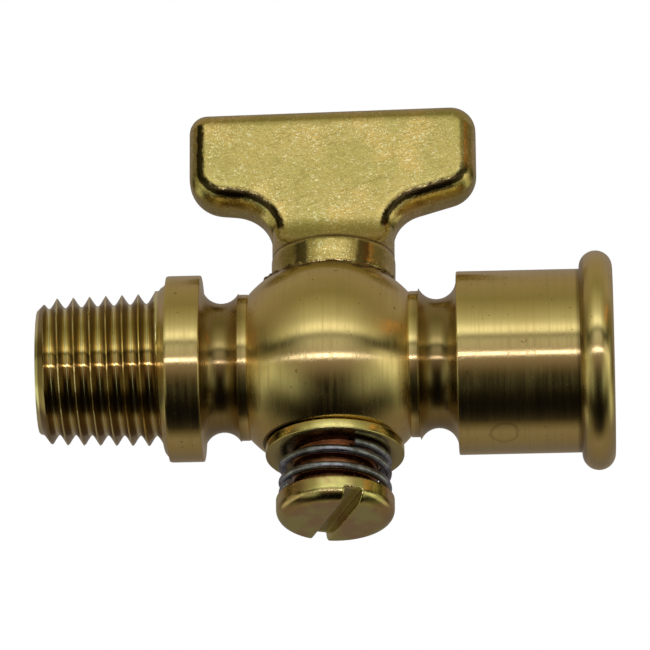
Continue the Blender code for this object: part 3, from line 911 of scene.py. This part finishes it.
def thread_marks(nodes, x, from_axis):
    """Painted highlights along the thread's crests and roots, then where its sides are darker."""
    blank = nodes.math("MULTIPLY_ADD", x, THREAD_TAPER, THREAD_LARGE_RADIUS)
    depth = nodes.minus(blank, from_axis)
    on_thread = nodes.ranged(x, *THREAD_END, 1.0, 0.0)
    # Darker on the flanks, between crest and root.
    darkened = nodes.times(nodes.band(depth, *DARKER_FLANKS), on_thread)
    edge_marks = nodes.minus(1.0, nodes.band(depth, *THREAD_FLANKS))
    return nodes.times(edge_marks, on_thread), nodes.times(darkened, 0.66)


def hollow_dirt(nodes, x, from_axis):
    """Dirt in the two hollows beside the ball."""
    beside_ball = nodes.math("ABSOLUTE", nodes.minus(x, BALL_X))
    hollow = nodes.ranged(from_axis, *HOLLOW_DIRT, 0.6, 0.0)
    hollow = nodes.times(hollow, nodes.ranged(beside_ball, RING_TO_AXIS, RING_TO_AXIS + RING_WIDTH))
    return nodes.times(hollow, nodes.ranged(x, *COLLAR_DIRT))


def plug_shade(nodes, x, z, patches):
    """Painted shade on the ball where it meets the handle's base and the washer."""
    from_plug = nodes.math("ABSOLUTE", nodes.minus(x, PLUG_X))
    height = nodes.math("MULTIPLY_ADD", patches, BY_HANDLE_WANDER, z)
    by_handle = nodes.ranged(height, *BY_HANDLE, 0.0, 0.8)
    by_washer = nodes.ranged(z, *BY_WASHER, 0.95, 0.0)
    near = nodes.ranged(from_plug, *BESIDE_PLUG, 1.0, 0.0)
    return nodes.times(nodes.math("ADD", by_handle, by_washer), near)


def ring_stain(nodes, place):
    """A faint ring under the cup."""
    inputs = {0: place, 1: STAIN_CENTRE}
    away = nodes.add("VectorMath", inputs, operation="DISTANCE").outputs["Value"]
    away = nodes.math("MULTIPLY_ADD", nodes.noise(place, *STAIN_EDGE), STAIN_WANDER, away)
    return nodes.times(nodes.band(away, *STAIN_RING), 0.28)


def turned_roughness(nodes, x, streaks, patches):
    """Rougher in the streaks and patches, and smoother on the thread."""
    rough = nodes.ranged(streaks, 0.3, 0.75, 0.19, 0.29)
    rough = nodes.math("ADD", rough, nodes.ranged(patches, 0.5, 0.85, 0.0, 0.09))
    on_thread = nodes.ranged(x, *THREAD_SMOOTHER, 1.0, 0.0)
    return nodes.math("MULTIPLY_ADD", on_thread, -0.09, rough)


def turned_height(nodes, place, x, from_axis, streaks):
    """Rings and streaks left by the tool, and specks that stand out on two worn edges."""
    rings = nodes.noise(nodes.math("ADD", x, from_axis), *TOOL_RINGS, "1D")
    specks = nodes.noise(place, *SPECKS)
    edge_marks = nodes.math("ADD", nodes.band(x, *COLLAR_WEAR), nodes.band(x, *CUP_WEAR))
    height = nodes.math("ADD", nodes.times(rings, 0.6), nodes.times(streaks, 0.5))
    return nodes.math("ADD", height, nodes.times(specks, nodes.math("MULTIPLY_ADD", edge_marks, 3.0, 0.7)))


def turned_brass():
    """Bright turned brass, with dirt in the hollows, painted shade where the handle's base and the washer
    meet the ball, a ring stain, painted highlights along the thread's crests and roots, and specks on two
    worn edges.
    """
    material, nodes, shader, place = metal("turned_brass_finish", TURNED_BRASS, 0.23, 0.88, "X")
    x, y, z = nodes.split(place)
    from_axis = nodes.distance_of(y, z)
    streaks = nodes.noise(nodes.stretched(place, *STREAK_STRETCH), *STREAKS)
    patches = nodes.noise(place, *PATCHES)
    edge_marks, darker_flanks = thread_marks(nodes, x, from_axis)
    # Painted highlights along the thread's crests and roots.
    tone = nodes.mixed(edge_marks, turned_tone(nodes, place, patches, streaks), PAINTED_HIGHLIGHT)
    darkening = nodes.math("ADD", darker_flanks, hollow_dirt(nodes, x, from_axis), clamp=True)
    # Painted shade where the handle's base and the washer meet the ball.
    darkening = nodes.most(darkening, plug_shade(nodes, x, z, patches))
    darkening = nodes.most(darkening, nodes.times(nodes.band(x, *BEAD_DIRT), 0.6))
    darkening = nodes.most(darkening, ring_stain(nodes, place))
    darkening = nodes.most(darkening, nodes.ranged(nodes.noise(place, *DOTS), 0.72, 0.78, 0.0, 0.6))
    rough = turned_roughness(nodes, x, streaks, patches)
    height = turned_height(nodes, place, x, from_axis, streaks)
    finish(nodes, shader, nodes.mixed(darkening, tone, DIRT_AND_SHADE), rough, height, 0.35, TURNED_RELIEF)
    return material


def forged_tone(nodes, place, grain, patches):
    """Two tones with warmer patches, a dark grain, painted glints, larger patches of painted glints and dark
    rubbing.
    """
    tone = nodes.mixed(nodes.ranged(nodes.noise(place, *GREEN), 0.4, 0.6), *FORGED_TONES)
    tone = nodes.mixed(nodes.ranged(patches, 0.5, 0.7, 0.0, 0.6), tone, FORGED_WARM)
    tone = nodes.mixed(nodes.ranged(grain, 0.52, 0.68, 0.0, 0.5), tone, FORGED_GRAIN)
    glints = nodes.ranged(nodes.noise(place, *GLINTS), 0.56, 0.66)
    tone = nodes.mixed(nodes.times(glints, nodes.ranged(patches, 0.40, 0.62, 0.3, 1.0)), tone, GLINT)
    wear_and_glint = nodes.noise(place, *WEAR_AND_GLINTS)
    # Larger patches of painted glints, then darker rubbed patches.
    tone = nodes.mixed(nodes.ranged(wear_and_glint, 0.60, 0.68, 0.0, 0.75), tone, GLINT_PATCH)
    return nodes.mixed(nodes.ranged(wear_and_glint, 0.42, 0.34, 0.0, 0.55), tone, RUBBED_DARK)


def edge_shade(nodes, x, z, dents):
    """A painted dark reflection where the handle's face turns into its edge, painted fainter at one corner.
    """
    _, outward, upward = nodes.split(nodes.own("Normal"))
    dented = nodes.minus(dents, 0.5)
    outward = nodes.math("MULTIPLY_ADD", dented, 0.16, nodes.math("ABSOLUTE", outward))
    shade = nodes.band(outward, 0.78, 0.925, 0.045)
    shade = nodes.times(shade, nodes.ranged(upward, 0.05, 0.25, 1.0, 0.0))
    shade = nodes.times(shade, nodes.ranged(z, *EDGE_SHADE))
    corner = nodes.times(nodes.ranged(x, *LESS_SHADE_X, 0.0, 0.75), nodes.ranged(z, *LESS_SHADE_Z))
    return nodes.times(nodes.times(shade, nodes.minus(1.0, corner)), 0.94)


def base_shade(nodes, z, beside, patches):
    """Painted dark reflections down the sides of the handle's base."""
    side_shade = nodes.math("MULTIPLY_ADD", patches, BASE_SHADE_WANDER, beside)
    return nodes.times(nodes.band(side_shade, *BASE_SHADE_BAND), nodes.ranged(z, *BASE_SHADE_END, 0.75, 0.0))


def line_under_cove(nodes, y, z):
    """A thin line of painted shade round the top of the base, stronger towards its front and back."""
    line = nodes.band(z, *LINE_UNDER_COVE)
    return nodes.times(line, nodes.ranged(nodes.math("ABSOLUTE", y), *LINE_STRONGER, 0.45, 0.9))


def cove_shade(nodes, y, z, beside, patches):
    """Painted shade along the foot of the cove, on a line that climbs from the base's rim."""
    rim = nodes.minus(BASE_RADIUS * BASE_RADIUS, nodes.times(beside, beside))
    inside = nodes.minus(nodes.math("SQRT", nodes.most(rim, 0.0)), nodes.math("ABSOLUTE", y))
    above = nodes.minus(z, nodes.math("MULTIPLY_ADD", inside, COVE_SHADE_RISE, BASE_HIGH))
    darkening = nodes.times(nodes.band(above, *COVE_SHADE), nodes.ranged(patches, 0.3, 0.6, 0.5, 0.9))
    return nodes.times(darkening, nodes.ranged(z, *COVE_START))


def forged_brass():
    """Tumbled forged brass: a fine grain, small dents, short scratches and warmer patches."""
    material, nodes, shader, place = metal("forged_brass_finish", FORGED_BRASS, 0.22)
    x, y, z = nodes.split(place)
    grain = nodes.noise(place, *GRAIN)
    dents = nodes.noise(place, *DENTS)
    patches = nodes.noise(place, *PATCHES)
    beside = nodes.math("ABSOLUTE", nodes.minus(x, PLUG_X))
    shade = nodes.most(edge_shade(nodes, x, z, dents), base_shade(nodes, z, beside, patches))
    tone = nodes.mixed(shade, forged_tone(nodes, place, grain, patches), SHADE)
    # Painted shade: a thin line under the cove, then along the cove's foot.
    tone = nodes.mixed(line_under_cove(nodes, y, z), tone, DIRT_AND_SHADE)
    tone = nodes.mixed(cove_shade(nodes, y, z, beside, patches), tone, DIRT_AND_SHADE)
    # Painted shade on the post, inside the spring.
    tone = nodes.mixed(nodes.ranged(z, *POST_SHADE_END, 1.0, 0.0), tone, POST_SHADE)
    rough = nodes.ranged(dents, 0.3, 0.7, 0.12, 0.24)
    height = nodes.math("ADD", grain, nodes.times(dents, 1.3))
    height = nodes.math("ADD", height, nodes.times(scratch_lines(nodes, place), 0.45))
    finish(nodes, shader, tone, rough, height, 0.6, FORGED_RELIEF)
    return material


def scratch_lines(nodes, place):
    """Thin short lines in two directions, as 0 to 1."""
    found = []
    for turn, stretch in SCRATCH_SETS:
        rotated = nodes.add("Mapping", {"Vector": place, "Rotation": (0.0, turn, 0.0)}).outputs[0]
        lines = nodes.noise(nodes.stretched(rotated, *stretch), *SCRATCHES)
        found.append(nodes.ranged(lines, 0.68, 0.74))
    return nodes.most(*found)


def washer_brass():
    """Stamped sheet brass, smoother and a little greener, with painted shade on its underside inside the
    spring.
    """
    material, nodes, shader, place = metal("washer_brass_finish", WASHER_BRASS, 0.2)
    z, from_axis = nodes.about_plug(place)
    patches = nodes.noise(place, *WASHER_PATCHES)
    fine = nodes.noise(place, *FINE)
    tone = nodes.mixed(nodes.ranged(patches, 0.45, 0.75), *WASHER_TONES)
    # Painted shade on the underside, inside the spring.
    under = nodes.ranged(z, *WASHER_UNDERSIDE, 1.0, 0.0)
    darkened = nodes.times(under, nodes.ranged(from_axis, *INSIDE_SPRING, 0.9, 0.35))
    rough = nodes.ranged(fine, 0.3, 0.7, 0.14, 0.28)
    height = nodes.math("ADD", fine, patches)
    finish(nodes, shader, nodes.mixed(darkened, tone, DIRT_AND_SHADE), rough, height, 0.35, WASHER_RELIEF)
    return material


def screw_brass():
    """Turned brass with fine rings about the screw's own axis, dirty in the slot."""
    material, nodes, shader, place = metal("screw_brass_finish", SCREW_BRASS, 0.22)
    z, from_axis = nodes.about_plug(place)
    rings = nodes.noise(nodes.math("ADD", z, from_axis), *SCREW_RINGS, "1D")
    fine = nodes.noise(place, *FINE)
    tone = nodes.mixed(nodes.ranged(nodes.noise(place, *SCREW_PATCHES), 0.42, 0.62), *SCREW_TONES)
    inside = nodes.ranged(z, *SLOT_FLOOR, 0.0, 0.5)
    inside = nodes.times(inside, nodes.ranged(from_axis, *HEAD_MIDDLE, 1.0, 0.0))
    rough = nodes.ranged(fine, 0.3, 0.7, 0.15, 0.30)
    height = nodes.math("ADD", nodes.times(rings, 0.6), nodes.times(fine, 0.5))
    finish(nodes, shader, nodes.mixed(inside, tone, DIRT_AND_SHADE), rough, height, 0.35, FINE_RELIEF)
    return material


def spring_steel():
    """Drawn steel wire with fine marks along it."""
    material, nodes, shader, place = metal("spring_steel_finish", STEEL, 0.25)
    fine = nodes.noise(nodes.stretched(place, *STEEL_STRETCH), *STREAKS)
    tone = nodes.mixed(nodes.ranged(nodes.noise(place, *STEEL_PATCHES), 0.42, 0.66), *STEEL_TONES)
    rough = nodes.ranged(fine, 0.3, 0.7, 0.24, 0.42)
    finish(nodes, shader, tone, rough, fine, 0.3, FINE_RELIEF)
    return material


# The studio: what the metal sees at each angle about the flow line, as red, green and blue.
# 0 is in front, 90 is up and 180 is behind.
SEEN_AROUND = (
    (-180, 0.19, 0.165, 0.14),
    (-166, 0.165, 0.145, 0.13),
    (-140, 0.21, 0.175, 0.11),
    (-122, 0.24, 0.20, 0.135),
    (-111, 0.12, 0.10, 0.05),
    (-103, 0.022, 0.017, 0.012),
    (-90, 0.005, 0.0045, 0.004),
    (-60, 0.004, 0.0032, 0.0025),
    (-48, 0.012, 0.009, 0.005),
    (-41, 0.03, 0.021, 0.010),
    (-33, 0.105, 0.078, 0.046),
    (-20, 0.28, 0.22, 0.17),
    (-8, 0.54, 0.50, 0.40),
    (4, 0.56, 0.56, 0.42),
    (10, 0.20, 0.20, 0.13),
    (15, 1.20, 1.22, 0.95),
    (20, 1.25, 1.25, 0.95),
    (25, 0.80, 0.80, 0.58),
    (32, 0.56, 0.56, 0.36),
    (46, 0.38, 0.37, 0.20),
    (62, 0.26, 0.245, 0.115),
    (90, 0.32, 0.28, 0.165),
    (124, 0.30, 0.26, 0.22),
    (180, 0.19, 0.165, 0.14),
)
# The same, for light from halfway between the front and an end of the flow line.
SEEN_ASIDE = (
    (-180, 0.19, 0.165, 0.14),
    (-140, 0.21, 0.175, 0.11),
    (-112, 0.15, 0.13, 0.07),
    (-90, 0.02, 0.018, 0.011),
    (-77, 0.03, 0.026, 0.014),
    (-66, 0.13, 0.125, 0.07),
    (-56, 0.30, 0.31, 0.19),
    (-46, 0.39, 0.41, 0.26),
    (-35, 0.36, 0.36, 0.22),
    (-22, 0.32, 0.30, 0.18),
    (-12, 0.27, 0.25, 0.155),
    (-3, 0.21, 0.19, 0.11),
    (3, 0.12, 0.11, 0.05),
    (7, 0.03, 0.028, 0.012),
    (11, 0.04, 0.038, 0.016),
    (15, 0.34, 0.34, 0.20),
    (19, 0.58, 0.57, 0.34),
    (27, 0.38, 0.37, 0.20),
    (37, 0.29, 0.27, 0.14),
    (58, 0.25, 0.21, 0.115),
    (90, 0.32, 0.28, 0.165),
    (124, 0.30, 0.26, 0.22),
    (180, 0.19, 0.165, 0.14),
)
# What it sees at each elevation near the ends of the flow line.
SEEN_AT_THE_ENDS = (
    (-90, 0.02, 0.018, 0.014),
    (-36, 0.03, 0.025, 0.015),
    (-30, 0.05, 0.045, 0.02),
    (-25, 0.20, 0.20, 0.11),
    (-18, 0.66, 0.68, 0.44),
    (-8, 0.60, 0.60, 0.35),
    (-2, 0.28, 0.26, 0.12),
    (4, 0.035, 0.03, 0.011),
    (12, 0.03, 0.026, 0.01),
    (18, 0.13, 0.11, 0.045),
    (26, 0.14, 0.12, 0.055),
    (36, 0.20, 0.18, 0.10),
    (50, 0.33, 0.28, 0.19),
    (90, 0.32, 0.28, 0.165),
)
SEEN_AT_THE_TIPS = (0.36, 0.35, 0.19, 1)
STRIP_COLOUR = (7.0, 6.5, 7.0, 1)
STRIP = (-13.6, -12.9, 1.2)
STRIP_FADE = (0.15, 0.9)
STRIP_AT_THE_ENDS = 0.1
# How far to the side one view gives way to the next, as the direction's x.
ASIDE_FROM = (0.34, 0.62)
ENDS_FROM = (0.74, 0.90)
TIPS_FROM = (0.955, 0.985)
TIPS_SHARE = 0.8
FRONT_EDGE = (-0.1, 0.0)
# Two small panels to the right, one warm and one pale: colour, share, then where they are as the
# directions' x and their elevation, each as from, to and soft edge.
PANELS = (
    ((0.80, 0.32, 0.05, 1), 0.7, (0.81, 0.85, 0.03), (21, 28, 7)),
    ((1.20, 1.15, 0.80, 1), 0.6, (0.80, 1.1, 0.06), (-12, -1, 4)),
)


def ramp_over(nodes, angle, half, stops):
    """A colour ramp over an angle that runs from minus half to half, in degrees."""
    share = nodes.math("DIVIDE", nodes.math("ADD", angle, half), 2 * half)
    return nodes.ramp(share, [((stop + half) / (2 * half), seen) for stop, *seen in stops])


def studio():
    """Light from all round in long bands beside the flow line, with a narrow strip and two small panels."""
    world = bpy.data.worlds.new("studio")
    bpy.context.scene.world = world
    world.use_nodes = True
    nodes = Nodes(world.node_tree)
    direction = nodes.add("TexCoord").outputs["Generated"]
    x, y, z = nodes.split(direction)
    around = nodes.times(nodes.math("ARCTAN2", z, nodes.times(y, -1.0)), math.degrees(1))
    elevation = nodes.times(nodes.math("ARCSINE", z), math.degrees(1))
    sideways = nodes.math("ABSOLUTE", x)
    in_front = nodes.ranged(y, *FRONT_EDGE, 1.0, 0.0)

    middle = ramp_over(nodes, around, 180.0, SEEN_AROUND)
    aside = ramp_over(nodes, around, 180.0, SEEN_ASIDE)
    ends = ramp_over(nodes, elevation, 90.0, SEEN_AT_THE_ENDS)
    colour = nodes.mixed(nodes.ranged(sideways, *ASIDE_FROM), middle, aside)
    ends = nodes.mixed(nodes.ranged(sideways, *TIPS_FROM, 0.0, TIPS_SHARE), ends, SEEN_AT_THE_TIPS)
    colour = nodes.mixed(nodes.ranged(sideways, *ENDS_FROM), colour, ends)

    for panel_colour, share, across, up in PANELS:
        panel = nodes.times(nodes.band(x, *across), nodes.band(elevation, *up))
        panel = nodes.times(panel, nodes.times(in_front, share))
        colour = nodes.mixed(panel, colour, panel_colour)

    strip = nodes.band(around, *STRIP)
    strip = nodes.times(strip, nodes.ranged(sideways, *STRIP_FADE, 1.0, STRIP_AT_THE_ENDS))
    colour = nodes.mixed(nodes.times(strip, in_front), colour, STRIP_COLOUR, "ADD")
    seen = nodes.add("LightPath").outputs["Is Camera Ray"]
    colour = nodes.mixed(seen, colour, (1, 1, 1, 1))
    background = nodes.add("Background", {"Color": colour, "Strength": 1.0})
    output = nodes.add("OutputWorld")
    nodes.put(output.inputs["Surface"], background.outputs[0])


FLOOR_DEPTH = 0.8
FLOOR_HALF_WIDTH = 6.0
FLOOR_COLOUR = (0.9, 0.9, 0.89, 1)
FLOOR_ROUGHNESS = 0.8
FLOOR_GLOW = (0.66, 0.70, 0.80, 1)
FLOOR_GLOW_STRENGTH = 0.6


def make_floor():
    """A pale floor, well below the part and its camera."""
    material = bpy.data.materials.new("pale_floor")
    material.use_nodes = True
    shader = material.node_tree.nodes["Principled BSDF"]
    shader.inputs["Base Color"].default_value = FLOOR_COLOUR
    shader.inputs["Roughness"].default_value = FLOOR_ROUGHNESS
    shader.inputs["Emission Color"].default_value = FLOOR_GLOW
    shader.inputs["Emission Strength"].default_value = FLOOR_GLOW_STRENGTH
    build = bmesh.new()
    bmesh.ops.create_grid(build, x_segments=1, y_segments=1, size=FLOOR_HALF_WIDTH)
    build.transform(Matrix.Translation((0, 0, -FLOOR_DEPTH)))
    floor = mesh_object("studio_floor", build, material)
    floor.visible_glossy = False


# The camera stands in front, 25 degrees below level, and looks up at the ball.
CAMERA_AZIMUTH = math.radians(2.0)
CAMERA_ELEVATION = math.radians(-25)
CAMERA_ROLL = math.radians(0.4)
CAMERA_DISTANCE = 0.6
CAMERA_LENS = 382.8
AIM_RIGHT = -0.39 * MM
AIM_UP = 3.56 * MM


def make_camera():
    side, front = math.sin(CAMERA_AZIMUTH), math.cos(CAMERA_AZIMUTH)
    level, climb = math.cos(CAMERA_ELEVATION), math.sin(CAMERA_ELEVATION)
    back = Vector((side * level, -front * level, climb))
    right = Vector((front, side, 0))
    up = back.cross(right)
    aim = Vector((BALL_X, 0, 0)) + AIM_RIGHT * right + AIM_UP * up
    camera = bpy.data.objects.new("camera", bpy.data.cameras.new("camera"))
    bpy.context.scene.collection.objects.link(camera)
    camera.data.lens = CAMERA_LENS
    camera.data.clip_start = 0.01
    turn = Matrix((right, up, back)).transposed() @ Matrix.Rotation(-CAMERA_ROLL, 3, "Z")
    camera.matrix_world = Matrix.Translation(aim + CAMERA_DISTANCE * back) @ turn.to_4x4()
    bpy.context.scene.camera = camera


def main():
    bpy.context.scene.view_settings.view_transform = "Standard"
    make_body(turned_brass())
    make_plug(forged_brass())
    make_washer(washer_brass())
    make_spring(spring_steel())
    make_screw(screw_brass())
    make_floor()
    studio()
    make_camera()


main()
